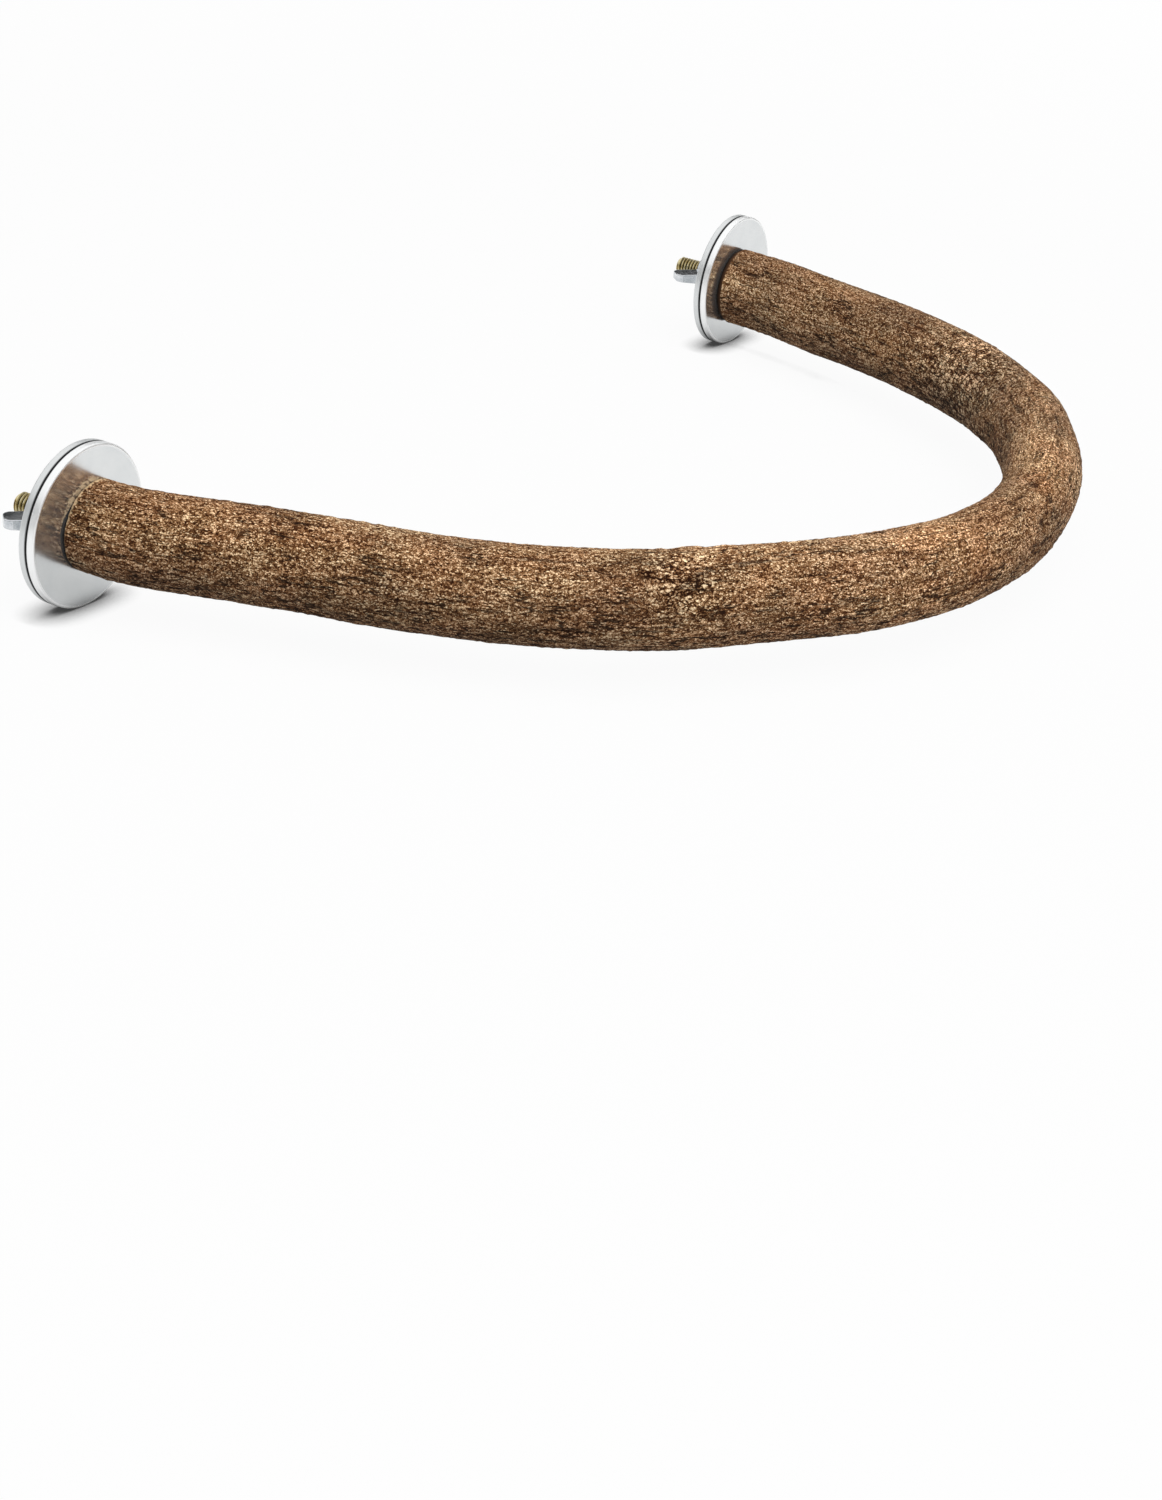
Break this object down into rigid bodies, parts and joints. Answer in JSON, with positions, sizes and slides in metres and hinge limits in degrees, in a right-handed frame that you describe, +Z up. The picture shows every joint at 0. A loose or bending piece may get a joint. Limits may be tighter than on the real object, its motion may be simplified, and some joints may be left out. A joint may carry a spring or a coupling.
{
  "type": "bird perch",
  "caption": "U-shaped bark-covered branch perch, clamped to a cage wall at each end between two wide washers by a wing nut on a threaded stud.",
  "frame": {"origin": "midway between the two stud axes, on the plane where each pair of washers closes on the cage wall", "axes": "+X from the cage wall to the middle of the bend, +Y towards the right end as seen from the bend, +Z up"},
  "size_m": [0.192, 0.357, 0.04],
  "materials": {
    "bark_wood": "rough bark, sawn ends",
    "bright_steel": "polished, bright plated steel",
    "yellow_plated_steel": "yellow zinc plated"
  },
  "bodies": {
    "perch": {"perch_branch": "bark_wood", "hanger_bolt_left": "yellow_plated_steel", "inner_washer_left": "bright_steel", "hanger_bolt_right": "yellow_plated_steel", "inner_washer_right": "bright_steel"},
    "clamp_washer_left": {"outer_washer_left": "bright_steel"},
    "nut_left": {"wing_nut_left": "bright_steel"},
    "clamp_washer_right": {"outer_washer_right": "bright_steel"},
    "nut_right": {"wing_nut_right": "bright_steel"}
  },
  "joints": [
    {"name": "clamp_slide_left", "type": "slide", "parent": "perch", "child": "clamp_washer_left", "axis": [-1, 0, 0], "range_m": [0, 0.008]},
    {"name": "wing_nut_turn_left", "type": "hinge", "parent": "clamp_washer_left", "child": "nut_left", "pos_m": [0, -0.1585, 0], "axis": [-1, 0, 0], "range_deg": [0, 2880]},
    {"name": "clamp_slide_right", "type": "slide", "parent": "perch", "child": "clamp_washer_right", "axis": [-1, 0, 0], "range_m": [0, 0.008]},
    {"name": "wing_nut_turn_right", "type": "hinge", "parent": "clamp_washer_right", "child": "nut_right", "pos_m": [0, 0.1585, 0], "axis": [-1, 0, 0], "range_deg": [0, 2880]}
  ],
  "couplings": [
    {"joint": "clamp_slide_left", "follows": "wing_nut_turn_left", "m_per_rad": 0.00015915},
    {"joint": "clamp_slide_right", "follows": "wing_nut_turn_right", "m_per_rad": 0.00015915}
  ]
}
